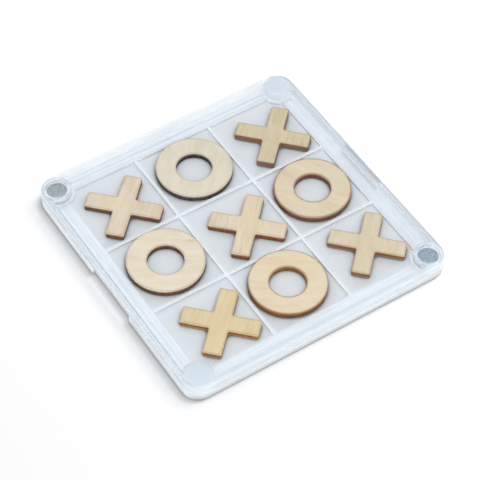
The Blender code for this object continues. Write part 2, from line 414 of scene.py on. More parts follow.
def clear_material(name, milk, colour, flat_shadow=(0.985, 0.99, 0.995),
                   wall_shadow=(0.80, 0.83, 0.86), foot=None, inside=(), bands=False,
                   glow=0.0, streaks=0.0, roughness=0.05):
    """Clear moulded plastic with a share of milkiness (milk) of a given colour.

    Shadow and diffuse rays pass through, tinted by flat_shadow at level faces and wall_shadow at
    walls. foot has the sides and front colours of painted contact shade at the bottom edge, where
    the milkiness grows so that the shade shows, and the shadow colour of the rays passed there.
    Each (area, milk, colour) of inside gives other values to one of AREAS; many of these are
    painted light and shade. bands paints shade and light on the pocket floor, glow is painted
    light given off by the milkiness, and streaks the depth of the painted reflection streaks.
    """
    net = material_net(name)
    where = net.place()
    spot = Spot(net, where)
    normal = net.out("ShaderNodeNewGeometry", socket="Normal")
    fine = net.noise(where, scale=900.0, detail=3.0, roughness=0.6)
    broad = net.noise(where, scale=45.0)
    flow = net.noise(net.mapping(where, scale=(1.0, 0.35, 1.0)), scale=160.0, distortion=0.5)
    _, facing_y, facing_z = net.split(normal)
    upward = net.math("ABSOLUTE", facing_z)
    glass = glass_shader(net, fine, broad, roughness)
    # the haze's emission, set by glow, is painted light
    haze = net.new("ShaderNodeBsdfPrincipled", {
        "Roughness": 0.25,
        "IOR": PLASTIC_IOR,
        "Emission Color": colour,
        "Emission Strength": glow,
    })
    milky = net.mix(flow, dimmed(colour, 0.97), colour)
    amount = milk

    if foot:
        share = net.over(spot.axes()[2], FOOT_HEIGHT)
        front, low, milky = foot_shade(net, share, facing_y, milky, foot)
        # painted light: extra glow on the lower part of the walls that don't face the near side
        painted_low_light = net.times(net.minus(1.0, front),
                         net.ramp(share, [(0.0, 0.20), (0.55, 0.12), (1.0, 0.02)]))
        net.feed(haze.inputs["Emission Strength"], net.plus(painted_low_light, glow))
        amount = net.minus(1.0, net.times(low, 1.0 - milk))
    if streaks:
        # painted reflection: dark and light streaks multiply the milky colour
        lines = painted_reflection_streaks(net, spot)
        milky = net.mix(streaks, milky, net.ramp(lines, [
            (0.32, (0.50, 0.57, 0.64)), (0.50, (0.92, 0.94, 0.96)), (0.68, (1.0, 1.0, 1.0))
        ]), "MULTIPLY")
        lively = net.plus(net.times(net.minus(lines, 0.5), streaks), 1.0)
        amount = net.math("MULTIPLY", lively, amount, clamp=True)
    if bands:
        milky = pocket_shade(net, spot, milky)
    for area_name, area_milk, area_colour in inside:
        mask = area_mask(net, spot, area_name)
        milky = net.mix(mask, milky, area_colour)
        kept = net.times(net.minus(1.0, mask), amount)
        amount = net.plus(kept, net.times(mask, area_milk))

    net.feed(haze.inputs["Base Color"], milky)
    haze_share = net.times(net.ramp(flow, [(0.3, 0.93), (0.7, 1.0)]), amount)
    body = net.mix_shader(haze_share, glass, haze.outputs[0])
    passed = net.ramp(upward, [(0.15, wall_shadow), (0.75, flat_shadow)])
    if foot:
        passed = net.mix(net.ramp(share, [(0.10, 1.0), (0.45, 0.0)]), passed, foot["shadow"])
    through = net.out("ShaderNodeBsdfTransparent", {"Color": passed})
    rays = net.new("ShaderNodeLightPath").outputs
    passing = net.math("MAXIMUM", rays["Is Shadow Ray"], rays["Is Diffuse Ray"])
    return net.output(net.mix_shader(passing, body, through))


# ------------------------------------------------------------------ card, magnets, wood
def card_material():
    """Barely blue white card with a faint fibre."""
    net = material_net("white_card")
    where = net.place()
    fibre = net.noise(net.mapping(where, scale=(1.0, 3.0, 1.0)),
                      scale=700.0, detail=4.0, roughness=0.65)
    cloud = net.noise(where, scale=60.0)
    base = net.mix(cloud, (0.722, 0.758, 0.800), (0.738, 0.770, 0.806))
    shade = net.ramp(fibre, [(0.25, (0.965, 0.965, 0.97)), (0.75, (1.0, 1.0, 1.0))])
    return net.output(net.out("ShaderNodeBsdfPrincipled", {
        "Base Color": net.multiply(base, shade),
        "Roughness": 0.85,
        "Specular IOR Level": 0.25,
        "Normal": net.bump(fibre, strength=0.25, distance=0.05 * MM),
    }))


def magnet_material(name, dark, light, roughness):
    """Nickel plate: a brushed face with faint mottling."""
    net = material_net(name)
    where = net.place()
    mottle = net.noise(where, scale=950.0, detail=3.0, roughness=0.65, distortion=0.4)
    brushed = net.noise(net.mapping(where, scale=(1.0, 14.0, 1.0), rotation=(0, 0, 0.5)),
                        scale=900.0)
    wear = net.plus(net.times(mottle, 0.7), net.times(brushed, 0.3))
    return net.output(net.out("ShaderNodeBsdfPrincipled", {
        "Base Color": net.ramp(wear, [(0.35, dark), (0.65, light)]),
        "Metallic": 0.75,
        "Roughness": net.plus(net.times(mottle, 0.2), roughness),
        "Normal": net.bump(wear, strength=0.3, distance=0.03 * MM),
    }))


def knot_stain(net, where, turn, grain, colour, knot):
    """Darkens an oval; knot is (x, y, half length, half width) in mm."""
    x, y, half_length, half_width = (value * MM for value in knot)
    centred = net.out("ShaderNodeVectorMath", {0: where, 1: (x, y, 0.0)}, operation="SUBTRACT")
    spun = net.mapping(centred, scale=(1.0, 1.0, 0.0), rotation=(0, 0, -turn))
    oval = net.mapping(spun, scale=(1.0 / half_length, 1.0 / half_width, 0.0))
    distance = net.out("ShaderNodeVectorMath", {0: oval}, socket="Value", operation="LENGTH")
    ragged = net.plus(distance, net.times(net.minus(grain, 0.5), 0.8))
    return net.mix(net.ramp(ragged, [(0.10, 0.62), (1.0, 0.0)]), colour, (0.50, 0.40, 0.23))


def wood_face(name, turn, seed, light, dark, cut_line, figure, knot):
    """Face of a plywood piece, with the grain turned by turn.

    It reads the point attribute "scorch", which is 1 at the cut line and 0 at 1 mm from it;
    cut_line is the strength of the browning of that line, partly real scorching from the laser
    and partly painted shade along the outline, and figure is the contrast of the grain.
    """
    net = material_net(name)
    where = net.place()
    along = net.mapping(where, rotation=(0, 0, -turn), location=(seed * 0.013, seed * 0.007, 0))
    stretched = net.mapping(along, scale=(0.14, 1.0, 1.0))
    pores = net.noise(stretched, scale=3400.0, detail=3.0, roughness=0.62)
    grain = net.noise(stretched, scale=1100.0, detail=3.0, roughness=0.55, distortion=0.25)
    bands = net.noise(net.mapping(along, scale=(0.22, 1.0, 1.0)), scale=300.0, distortion=0.6)
    cloud = net.noise(along, scale=95.0)
    flame = net.noise(net.mapping(along, scale=(0.4, 1.0, 1.0)), scale=190.0, distortion=0.8)

    middle = blended(light, dark, 0.5)
    colour = net.ramp(bands, [(0.30, blended(middle, dark, 0.7)), (0.52, middle),
                              (0.72, blended(middle, light, 0.7))])
    # layers over the bands: (noise, where it starts, where it is full, share, colour)
    for layer, start, full, share, tone in (
        (grain, 0.42, 0.70, 0.38, toned(dark, (0.90, 0.85, 0.78))),
        (pores, 0.58, 0.78, 0.34, toned(dark, (0.74, 0.64, 0.52))),
        (cloud, 0.35, 0.75, 0.35, toned(light, (1.04, 1.05, 1.08))),
        (flame, 0.45, 0.75, 0.30, toned(middle, (0.97, 1.00, 0.88))),
    ):
        colour = net.mix(net.ramp(layer, [(start, 0.0), (full, share)]), colour, tone)
    # contrast about the middle colour
    colour = net.out("ShaderNodeVectorMath", {
        0: colour,
        1: (figure,) * 3,
        2: tuple(level * (1.0 - figure) * 0.975 for level in middle),
    }, operation="MULTIPLY_ADD")
    if knot:
        colour = knot_stain(net, where, turn, grain, colour, knot)

    scorch_and_shade = net.out("ShaderNodeAttribute", socket="Fac", attribute_name="scorch_and_shade")
    ragged = net.noise(where, scale=900.0)
    # the cut line is darkened brown: partly real scorching, partly painted shade along the outline
    burn_and_shade = net.plus(scorch_and_shade, net.times(net.minus(ragged, 0.5), 0.22))
    browned_and_shaded = net.times(net.ramp(burn_and_shade, [(0.30, 0.0), (0.58, 0.11), (0.80, 0.30),
                                        (0.89, 0.70), (1.0, 0.95)]), cut_line)
    colour = net.mix(browned_and_shaded, colour, (0.21, 0.115, 0.065))
    relief = net.plus(net.times(grain, 0.6), net.times(pores, 0.4))
    return net.output(net.out("ShaderNodeBsdfPrincipled", {
        "Base Color": colour,
        "Roughness": net.ramp(grain, [(0.3, 0.60), (0.7, 0.74)]),
        "Specular IOR Level": 0.30,
        "Normal": net.bump(relief, strength=0.35, distance=0.06 * MM),
    }))


def wood_edge(name, seed, tones, hole):
    """Cut edge of a plywood piece, in tones from the bottom to the top, which hold painted light
    and shade.

    hole tints the wall where the point attribute "inner" is 1, as painted light and shade on the
    hole's wall.
    """
    turn = (seed * 0.37) % 1.0
    net = material_net(name)
    where = net.place()
    _, _, z = net.split(where)
    height = net.over(net.minus(z, PIECE_FOOT), piece_hi.z - PIECE_FOOT)
    streak = net.noise(net.mapping(where, scale=(1.0, 1.0, 0.15), rotation=(0, 0, turn)),
                       scale=1500.0, detail=3.0, roughness=0.6)
    patch = net.noise(net.mapping(where, scale=(1.0, 1.0, 0.5), rotation=(0, 0, turn)),
                      scale=170.0)
    wobble = net.plus(height, net.times(net.minus(streak, 0.5), 0.12))
    low, middle, upper, top = tones
    glue = dimmed(middle, 0.72)
    # the tones carry painted light and shade, and the darker stop at the very bottom is painted
    # contact shade
    colour = net.ramp(wobble, [
        (0.00, dimmed(low, 0.75)), (0.12, low), (0.30, low), (0.36, glue), (0.42, middle),
        (0.58, middle), (0.64, glue), (0.70, upper), (0.80, upper), (0.93, top)])
    colour = net.mix(net.ramp(patch, [(0.34, 0.30), (0.62, 0.0)]), colour, dimmed(middle, 0.60))
    colour = net.mix(net.ramp(streak, [(0.50, 0.0), (0.85, 0.22)]), colour, dimmed(upper, 1.5))
    if hole:
        inner = net.out("ShaderNodeAttribute", socket="Fac", attribute_name="inner")
        # painted light and shade on the hole's wall
        colour = net.mix(inner, colour, net.multiply(colour, hole))
    return net.output(net.out("ShaderNodeBsdfPrincipled", {
        "Base Color": colour,
        "Roughness": 0.72,
        "Specular IOR Level": 0.25,
        "Normal": net.bump(streak, strength=0.4, distance=0.06 * MM),
    }))


def wood_materials(node, grain, seed, light, dark, cut_line, figure, tones, hole=None, knot=None):
    """(face, edge) materials of one piece; grain is in degrees."""
    return (wood_face(node + "_face", math.radians(grain), seed, light, dark, cut_line, figure,
                      knot),
            wood_edge(node + "_edge", seed, tones, hole))


# ------------------------------------------------------------------ mesh helpers
def to_object(solid, name, materials=()):
    bmesh.ops.recalc_face_normals(solid, faces=solid.faces[:])
    mesh = bpy.data.meshes.new(name)
    solid.to_mesh(mesh)
    solid.free()
    for material in materials:
        mesh.materials.append(material)
    obj = bpy.data.objects.new(name, mesh)
    scene.collection.objects.link(obj)
    return obj


def bevel(solid, edges, offset, segments):
    bmesh.ops.bevel(solid, geom=edges, offset=offset, offset_type="OFFSET", segments=segments,
                    profile=0.5, affect="EDGES", clamp_overlap=False)


def block(half_x, half_y, z0, z1, corner_r=0.0, top_round=0.0, foot_round=0.0, at=(0.0, 0.0),
          steps=20, name="cutter"):
    """A box from z0 to z1 with rounded upright corners and rounded top and foot edges."""
    solid = bmesh.new()
    bmesh.ops.create_cube(solid, size=1.0)
    bmesh.ops.scale(solid, vec=(2 * half_x, 2 * half_y, z1 - z0), verts=solid.verts[:])
    bmesh.ops.translate(solid, vec=(at[0], at[1], (z0 + z1) / 2), verts=solid.verts[:])
    if corner_r:
        upright = [e for e in solid.edges
                   if abs(e.verts[0].co.z - e.verts[1].co.z) > (z1 - z0) / 2]
        bevel(solid, upright, corner_r, steps)
    for level, size in ((z1, top_round), (z0, foot_round)):
        if size:
            solid.normal_update()
            ring = [e for e in solid.edges
                    if all(abs(v.co.z - level) < 1e-7 for v in e.verts)
                    and any(abs(f.normal.z) < 0.5 for f in e.link_faces)]
            bevel(solid, ring, size, 5)
    return to_object(solid, name)


def drum(radius, z0, z1, at, steps):
    solid = bmesh.new()
    bmesh.ops.create_cone(solid, cap_ends=True, segments=steps, radius1=radius, radius2=radius,
                          depth=z1 - z0)
    bmesh.ops.translate(solid, vec=(at[0], at[1], (z0 + z1) / 2), verts=solid.verts[:])
    return to_object(solid, "cutter")


def bake(obj):
    """Turns the modifiers of obj into mesh."""
    bpy.context.view_layer.update()
    depsgraph = bpy.context.evaluated_depsgraph_get()
    made = bpy.data.meshes.new_from_object(obj.evaluated_get(depsgraph))
    obj.modifiers.clear()
    obj.data = made


def cut(obj, other, operation="DIFFERENCE"):
    """Combines other into obj, and removes other."""
    boolean = obj.modifiers.new("cut", "BOOLEAN")
    boolean.operation = operation
    boolean.solver = "EXACT"
    boolean.object = other
    bake(obj)
    bpy.data.objects.remove(other, do_unlink=True)


def cut_corners(obj, radius, z0, z1, steps=112):
    """Cuts a drum out of obj at each boss."""
    for at in BOSSES:
        cut(obj, drum(radius, z0, z1, at, steps))


def soften(obj, width, segments=2):
    """Small rounds on every sharp edge of a finished solid, then smooth shading."""
    solid = bmesh.new()
    solid.from_mesh(obj.data)
    bmesh.ops.remove_doubles(solid, verts=solid.verts[:], dist=2e-6)
    bmesh.ops.dissolve_degenerate(solid, edges=solid.edges[:], dist=2e-6)
    solid.to_mesh(obj.data)
    solid.free()
    rounding = obj.modifiers.new("soften", "BEVEL")
    rounding.width = width
    rounding.segments = segments
    rounding.limit_method = "ANGLE"
    rounding.angle_limit = math.radians(32.0)
    rounding.use_clamp_overlap = True
    rounding.miter_outer = "MITER_SHARP"
    bake(obj)
    smooth(obj, 30.0)


def smooth(obj, degrees):
    obj.data.shade_smooth()
    obj.data.set_sharp_from_angle(angle=math.radians(degrees))


def edge_profile(bottom, top, rounding, wall_shares=()):
    """(inset, height) of the rows down an upright edge with quarter-round corners."""
    quarter = [(rounding * (1 - math.sin(t)), rounding * (1 - math.cos(t)))
               for t in map(math.radians, (0.0, 30.0, 60.0, 90.0))]
    return ([(inset, top - drop) for inset, drop in quarter]
            + [(0.0, bottom + (top - bottom) * share) for share in wall_shares]
            + [(inset, bottom + rise) for inset, rise in reversed(quarter)])


def point_attribute(obj, name, values):
    obj.data.attributes.new(name, "FLOAT", "POINT").data.foreach_set("value", values)


def box_centre(lo, hi):
    return (lo.x + hi.x) / 2, (lo.y + hi.y) / 2


# ------------------------------------------------------------------ case and card
# The cutters reach 1 mm or more past the faces they open.
def make_tray():
    tray = block(HALF, HALF, FLANGE_BOTTOM, HEIGHT, CORNER_R,
                 top_round=0.42 * MM, foot_round=0.12 * MM, name="tray_clear")
    body = block(TRAY_BODY, TRAY_BODY, TRAY_UNDER, FLANGE_BOTTOM + 0.4 * MM, TRAY_BODY_R)
    cut_corners(body, BOSS_CLEAR_R, TRAY_UNDER - MM, FLANGE_BOTTOM)
    cut(tray, body, "UNION")

    recess = block(RIM_INNER, RIM_INNER, LAND, HEIGHT + 2 * MM, RIM_INNER_R)
    cut_corners(recess, BOSS_R, LAND - MM, HEIGHT + 3 * MM)
    cut(tray, recess)

    pockets = block(POCKET_EDGE, POCKET_EDGE, POCKET_FLOOR, LAND + MM, POCKET_R, steps=6)
    rib = (POCKET_FLOOR - MM, LAND + 2 * MM)
    for side in (-0.5, 0.5):
        cut(pockets, block(RIB_WIDTH / 2, HALF, *rib, at=(side * PITCH, 0.0)))
        cut(pockets, block(HALF, RIB_WIDTH / 2, *rib, at=(0.0, side * PITCH)))
    cut_corners(pockets, BOSS_LAND_R, *rib)
    cut(tray, pockets)
    cut_corners(tray, SOCKET_R, FLANGE_BOTTOM - 2 * MM, TRAY_SOCKET_TOP, steps=96)
    soften(tray, 0.13 * MM)
    return tray


def make_base():
    base = block(HALF, HALF, 0.0, BASE_TOP, CORNER_R,
                 foot_round=0.18 * MM, top_round=0.12 * MM, name="base_clear")
    hollow = block(BASE_INNER, BASE_INNER, BASE_PLATE, BASE_TOP + 2 * MM, BASE_INNER_R)
    cut_corners(hollow, BOSS_R, BASE_PLATE - MM, BASE_TOP + 3 * MM)
    cut(base, hollow)
    cut_corners(base, SOCKET_R, BASE_SOCKET_FLOOR, BASE_TOP + MM, steps=96)
    for side in (-1, 1):
        cut(base, block(NOTCH_DEPTH, NOTCH_HALF_WIDTH, -MM, BASE_TOP + MM, NOTCH_R,
                        at=(side * HALF, 0.0), steps=8))
    soften(base, 0.10 * MM)
    return base


def make_card():
    card = block(card_hi.x, card_hi.y, card_lo.z, card_hi.z, name="card_sheet")
    cut_corners(card, BOSS_CLEAR_R, card_lo.z - MM, card_hi.z + MM)
    soften(card, 0.03 * MM, segments=1)
    return card


# ------------------------------------------------------------------ wooden pieces
def finish_piece(obj):
    """Slot 0 on the two flat faces and slot 1 on the cut edge."""
    for polygon in obj.data.polygons:
        polygon.material_index = 0 if abs(polygon.normal.z) > 0.72 else 1
    smooth(obj, 40.0)


def nought_section(outer, inner, bottom, top):
    """(radius, height) round the section of the ring."""
    profile = edge_profile(bottom, top, PIECE_ROUND, WALL_SHARES)
    outer_wall = [(outer - inset, z) for inset, z in profile]
    inner_wall = [(inner + inset, z) for inset, z in profile]
    face = ([outer - inset for inset in FACE_INSETS] + [(outer + inner) / 2]
            + [inner + inset for inset in reversed(FACE_INSETS)])
    return (outer_wall[::-1] + [(radius, top) for radius in face]
            + inner_wall + [(radius, bottom) for radius in reversed(face)])


def make_nought(node, materials):
    lo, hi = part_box(node)
    centre_x, centre_y = box_centre(lo, hi)
    outer = (hi.x - lo.x) / 2
    inner = NOUGHT_HOLE_R
    section = nought_section(outer, inner, lo.z - REST_DROP, hi.z)
    solid = bmesh.new()
    rings = []
    for k in range(NOUGHT_STEPS):
        angle = 2 * math.pi * k / NOUGHT_STEPS
        across, along = math.cos(angle), math.sin(angle)
        ring = []
        for radius, z in section:
            if min(abs(radius - outer), abs(radius - inner)) < 0.2 * MM:
                # slight waviness of the cut, never past the box
                spot = Vector((across * 6 + centre_x * 900, along * 6, z * 700))
                radius = min(radius + 0.02 * MM * noise.noise(spot), outer)
            ring.append(solid.verts.new((centre_x + radius * across,
                                         centre_y + radius * along, z)))
        rings.append(ring)
    count = len(section)
    for k, here in enumerate(rings):
        after = rings[(k + 1) % NOUGHT_STEPS]
        for j in range(count):
            i = (j + 1) % count
            solid.faces.new((here[j], after[j], after[i], here[i]))
    obj = to_object(solid, node + "_wood", materials)

    radii = [math.hypot(v.co.x - centre_x, v.co.y - centre_y) for v in obj.data.vertices]
    point_attribute(obj, "scorch_and_shade", [
        max(0.0, 1.0 - min(abs(radius - outer), abs(radius - inner)) / MM) for radius in radii])
    point_attribute(obj, "inner", [
        1.0 if radius < (outer + inner) / 2 else 0.0 for radius in radii])
    finish_piece(obj)
    return obj


def cross_corners(length, arm):
    """The twelve corners, anticlockwise; every third is a crotch between two arms."""
    tip, side = length / 2, arm / 2
    corners = []
    for k in range(4):
        cos, sin = math.cos(k * math.pi / 2), math.sin(k * math.pi / 2)
        for x, y in ((tip, -side), (tip, side), (side, side)):
            corners.append((cos * x - sin * y, sin * x + cos * y))
    return corners


def towards(start, end):
    length = math.hypot(end[0] - start[0], end[1] - start[1])
    return (end[0] - start[0]) / length, (end[1] - start[1]) / length


def cross_outline(length, arm, tip_r, crotch_r):
    """The corners, each turned into an arc of CROSS_ARC_STEPS + 1 points."""
    corners = cross_corners(length, arm)
    outline = []
    for k, corner in enumerate(corners):
        radius = crotch_r if k % 3 == 2 else tip_r
        back_x, back_y = towards(corner, corners[k - 1])
        on_x, on_y = towards(corner, corners[(k + 1) % len(corners)])
        arc_x = corner[0] + (back_x + on_x) * radius
        arc_y = corner[1] + (back_y + on_y) * radius
        for j in range(CROSS_ARC_STEPS + 1):
            t = math.pi / 2 * j / CROSS_ARC_STEPS
            outline.append((arc_x - radius * (on_x * math.cos(t) + back_x * math.sin(t)),
                            arc_y - radius * (on_y * math.cos(t) + back_y * math.sin(t))))
    return outline


def cross_row(inset):
    """The outline drawn smaller by inset, with its straight runs divided.

    The point count doesn't depend on inset, so rows join one to one.
    """
    points = cross_outline(CROSS_LENGTH - 2 * inset, CROSS_ARM - 2 * inset,
                           max(CROSS_TIP_R_MIN, CROSS_TIP_R - inset), CROSS_CROTCH_R + inset)
    per_corner = CROSS_ARC_STEPS + 1
    row = []
    for k, (x, y) in enumerate(points):
        after = points[(k + 1) % len(points)]
        parts = 1
        if k % per_corner == CROSS_ARC_STEPS:  # the straight run after each rounded corner
            parts = 4 if (k // per_corner) % 3 == 0 else 8
        for j in range(parts):
            t = j / parts
            row.append((x + (after[0] - x) * t, y + (after[1] - y) * t))
    return row


# distances of the rows of a cross from the cut line, in mm, for the scorching and the painted
# shade along the outline
FACE_DEPTHS = (1.0, 0.60, 0.30)
ROUND_DEPTHS = (0.13, 0.07, 0.02, 0.0)
CROSS_DEPTHS = (FACE_DEPTHS + ROUND_DEPTHS + (0.0,) * len(WALL_SHARES)
                + ROUND_DEPTHS[::-1] + FACE_DEPTHS[::-1])


def make_cross(node, turn, materials):
    lo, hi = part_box(node)
    centre_x, centre_y = box_centre(lo, hi)
    bottom, top = lo.z - REST_DROP, hi.z
    cos, sin = math.cos(turn), math.sin(turn)
    # (inset, height) of each row, from the top face to the bottom face
    stations = ([(inset, top) for inset in reversed(FACE_INSETS)]
                + edge_profile(bottom, top, PIECE_ROUND, WALL_SHARES)
                + [(inset, bottom) for inset in FACE_INSETS])
    solid = bmesh.new()
    rows = [[solid.verts.new((centre_x + cos * x - sin * y, centre_y + sin * x + cos * y, z))
             for x, y in cross_row(inset)] for inset, z in stations]
    for here, below in zip(rows, rows[1:]):
        for j in range(len(here)):
            k = (j + 1) % len(here)
            solid.faces.new((here[j], below[j], below[k], here[k]))
    solid.faces.new(rows[0])
    solid.faces.new(rows[-1][::-1])
    obj = to_object(solid, node + "_wood", materials)
    point_attribute(obj, "scorch_and_shade", [
        1.0 - depth for row, depth in zip(rows, CROSS_DEPTHS) for _ in row])
    finish_piece(obj)
    return obj


# ------------------------------------------------------------------ magnets
def make_magnet(node, material):
    lo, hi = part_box(node)
    centre_x, centre_y = box_centre(lo, hi)
    radius = (hi.y - lo.y) / 2
    # (radius, height) from the top face to the bottom face
    section = ([(radius * 0.5, hi.z)]
               + [(radius - inset, z) for inset, z in edge_profile(lo.z, hi.z, MAGNET_ROUND)]
               + [(radius * 0.5, lo.z)])
    solid = bmesh.new()
    top = solid.verts.new((centre_x, centre_y, hi.z))
    bottom = solid.verts.new((centre_x, centre_y, lo.z))
    rings = []
    for k in range(MAGNET_STEPS):
        angle = 2 * math.pi * k / MAGNET_STEPS
        rings.append([solid.verts.new((centre_x + reach * math.cos(angle),
                                       centre_y + reach * math.sin(angle), z))
                      for reach, z in section])
    for k, here in enumerate(rings):
        after = rings[(k + 1) % MAGNET_STEPS]
        for j in range(len(here) - 1):
            solid.faces.new((here[j], here[j + 1], after[j + 1], after[j]))
        solid.faces.new((top, here[0], after[0]))
        solid.faces.new((bottom, after[-1], here[-1]))
    obj = to_object(solid, node + "_disc", (material,))
    smooth(obj, 40.0)
    return obj


# ------------------------------------------------------------------ looks of the case
ICE = (0.90, 0.95, 1.0)

# kind of surface: material, in slot order
# In these looks glow is painted light, streaks are painted reflection, and many inside areas are
# painted light and shade.
TRAY_LOOKS = {
    "tray_general": clear_material("tray_plastic", milk=0.24, colour=ICE, roughness=0.10),
    "socket": clear_material(
        "tray_socket", milk=0.0, colour=ICE,
        # socket_ring is painted light: a pale ring over the shaded gap round the magnet
        inside=(("socket_ring", 0.90, (0.80, 0.86, 0.92)),)),
    "socket_wall": clear_material(
        "tray_socket_wall", milk=0.85, colour=(0.84, 0.90, 0.95),
        wall_shadow=(0.9, 0.92, 0.94)),
    # floor: bands paints contact shade round the pieces, and light and shade along the ribs
    "floor": clear_material(
        "tray_pocket_floor", milk=0.82, colour=(0.83, 0.88, 0.93), bands=True,
        flat_shadow=(0.98, 0.985, 0.99)),
    "rib": clear_material(
        "tray_rib_walls", milk=0.82, colour=(0.72, 0.77, 0.82), wall_shadow=(0.95, 0.96, 0.97)),
    "land": clear_material(
        "tray_land", milk=0.42, colour=(0.745, 0.825, 0.90), streaks=0.36,
        # by_rim is painted light where the body walls would show dark through the land, notch_line
        # is painted shade of the notch seen through, and far_edge a painted shade band along the
        # far and right edges
        inside=(("by_rim", 0.50, (0.80, 0.88, 0.955)),
                ("notch_line", 0.80, (0.53, 0.57, 0.605)),
                ("far_edge", 0.62, (0.62, 0.66, 0.68)),
                ("field", 0.62, (0.73, 0.78, 0.825)))),
    "boss": clear_material("tray_magnet_bosses", milk=0.08, colour=(0.74, 0.84, 0.94)),
    # plain_boss: glow is painted light that makes the boss walls as pale as those round them
    "plain_boss": clear_material(
        "tray_plain_bosses", milk=1.0, colour=(0.76, 0.83, 0.90), glow=0.08, roughness=0.16),
    "rim_top": clear_material(
        "tray_rim_top", milk=0.36, colour=(0.50, 0.60, 0.705), streaks=0.24,
        # the sides get lighter and darker copies of the plastic as painted light and shade, and
        # right_edge and right_notch are painted shade of the notch seen through the rim
        inside=(("far_side", 0.62, (0.93, 0.95, 0.96)),
                ("near_side", 0.52, (0.735, 0.82, 0.895)),
                ("boss", 0.06, (0.62, 0.72, 0.82)),
                ("plain_boss", 0.84, (0.57, 0.65, 0.725)),
                ("right_side", 0.45, (0.60, 0.655, 0.72)),
                ("right_edge", 0.60, (0.50, 0.55, 0.62)),
                ("right_notch", 0.94, (0.37, 0.405, 0.43)),
                ("boss_ring", 0.40, (0.80, 0.88, 0.95)))),
    "rim_wall": clear_material(
        "tray_rim_wall", milk=0.70, colour=(0.86, 0.93, 1.0), glow=0.10, streaks=0.16,
        roughness=0.12,
        # near_side is a painted dark reflection band, and far_side painted light on the under-lit
        # wall
        inside=(("near_side", 0.55, (0.36, 0.44, 0.52)),
                ("far_side", 0.86, (0.96, 1.0, 1.0)))),
    # outer: glow is painted light
    "outer": clear_material(
        "tray_outer_wall", milk=0.64, colour=(0.88, 0.95, 1.0), streaks=0.20, roughness=0.12,
        glow=0.03),
}
BASE_LOOKS = {
    "base_general": clear_material(
        "base_plastic", milk=0.22, colour=ICE, roughness=0.10, flat_shadow=(0.96, 0.97, 0.98),
        wall_shadow=(0.55, 0.57, 0.59)),
    "base_socket": clear_material("base_socket", milk=0.0, colour=ICE),
    # base_outer: glow is painted light, and foot paints contact shade along the bottom edge and
    # darkens the near-facing wall
    "base_outer": clear_material(
        "base_outer_wall", milk=0.72, colour=(0.93, 0.97, 1.0), flat_shadow=(0.96, 0.97, 0.98),
        wall_shadow=(0.40, 0.42, 0.44), glow=0.10,
        foot={"sides": (0.84, 0.85, 0.86), "front": (0.27, 0.28, 0.29),
              "shadow": (0.02, 0.02, 0.03)}),
}

# limits that tell the surfaces of the case apart
SOCKET_REACH = 3.6 * MM
BOSS_REACH = BOSS_R + 0.2 * MM
OUTER_CORNER_REACH = 4.9 * MM
TRAY_OUTSIDE = 44.4 * MM
BASE_OUTSIDE = 43.7 * MM
POCKET_REACH = 39.0 * MM
RIM_TOP_LEVEL = 5.85 * MM
LAND_LEVEL = 3.5 * MM
ABOVE_FLOOR = 3.1 * MM
BELOW_FLOOR = POCKET_FLOOR - 0.05 * MM


def is_outside(x, y, side):
    """Whether a point is on the outer wall, which starts at side."""
    return max(x, y) > side or (
        x > CORNER_CENTRE and y > CORNER_CENTRE
        and math.hypot(x - CORNER_CENTRE, y - CORNER_CENTRE) > OUTER_CORNER_REACH)


def tray_region(at, normal):
    x, y, z = abs(at.x), abs(at.y), at.z
    boss = math.hypot(x - BOSS_AT, y - BOSS_AT)
    has_magnet = at.x * at.y < 0
    boss_look = "boss" if has_magnet else "plain_boss"
    if normal.z > 0.9:  # the flat faces, each told by its level
        if z > RIM_TOP_LEVEL:
            return "rim_top"
        if z > LAND_LEVEL:
            return "land"
        return "floor" if BELOW_FLOOR < z < ABOVE_FLOOR else "tray_general"
    if normal.z < -0.9:
        return "socket" if z > 4.2 * MM and has_magnet else "tray_general"
    if boss < SOCKET_REACH and z < 4.4 * MM:
        return "socket_wall" if has_magnet else "plain_boss"
    if x < POCKET_REACH and y < POCKET_REACH and z > BELOW_FLOOR:
        return boss_look if boss < BOSS_REACH and z > LAND else "rib"
    if z > RIM_TOP_LEVEL and normal.z > 0.6:
        return boss_look if boss < BOSS_R else "rim_top"
    if is_outside(x, y, TRAY_OUTSIDE) and z > FLANGE_BOTTOM:
        return "outer"
    if boss < BOSS_REACH and z > LAND:
        return boss_look
    return "rim_wall" if z > LAND + 0.1 * MM else "tray_general"


def base_region(at, normal):
    x, y = abs(at.x), abs(at.y)
    boss = math.hypot(x - BOSS_AT, y - BOSS_AT)
    if boss < SOCKET_REACH and at.z > BASE_SOCKET_FLOOR - 0.1 * MM:
        return "base_socket"
    if is_outside(x, y, BASE_OUTSIDE) and abs(normal.z) < 0.9:
        return "base_outer"
    return "base_general"


def set_materials(obj, materials):
    obj.data.materials.clear()  # drops any slot left by the cuts
    for material in materials:
        obj.data.materials.append(material)


def dress(obj, looks, region):
    """One material for each kind of surface of the moulding."""
    set_materials(obj, looks.values())
    names = list(looks)
    for polygon in obj.data.polygons:
        polygon.material_index = names.index(region(polygon.center, polygon.normal))


# ------------------------------------------------------------------ build everything
def hand_over(obj, node, body):
    """Tells the frame what obj moves with, which CAD node it replaces."""
    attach(obj, body)
    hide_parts(node)


CARD = card_material()
NICKEL_LEFT = magnet_material("nickel_a", dark=(0.27, 0.31, 0.34), light=(0.53, 0.59, 0.62),
                              roughness=0.42)
NICKEL_RIGHT = magnet_material("nickel_b", dark=(0.13, 0.22, 0.30), light=(0.53, 0.67, 0.79),
                               roughness=0.38)

tray = make_tray()
dress(tray, TRAY_LOOKS, tray_region)
hand_over(tray, "grid_tray", "tray")

base = make_base()
dress(base, BASE_LOOKS, base_region)
hand_over(base, "base_shell", "base")

card = make_card()
set_materials(card, (CARD,))
hand_over(card, "backing_card", "card")

for body in ("tray", "base"):
    for number, nickel in ((1, NICKEL_LEFT), (2, NICKEL_RIGHT)):
        node = f"{body}_magnet_{number}"
        hand_over(make_magnet(node, nickel), node, body)
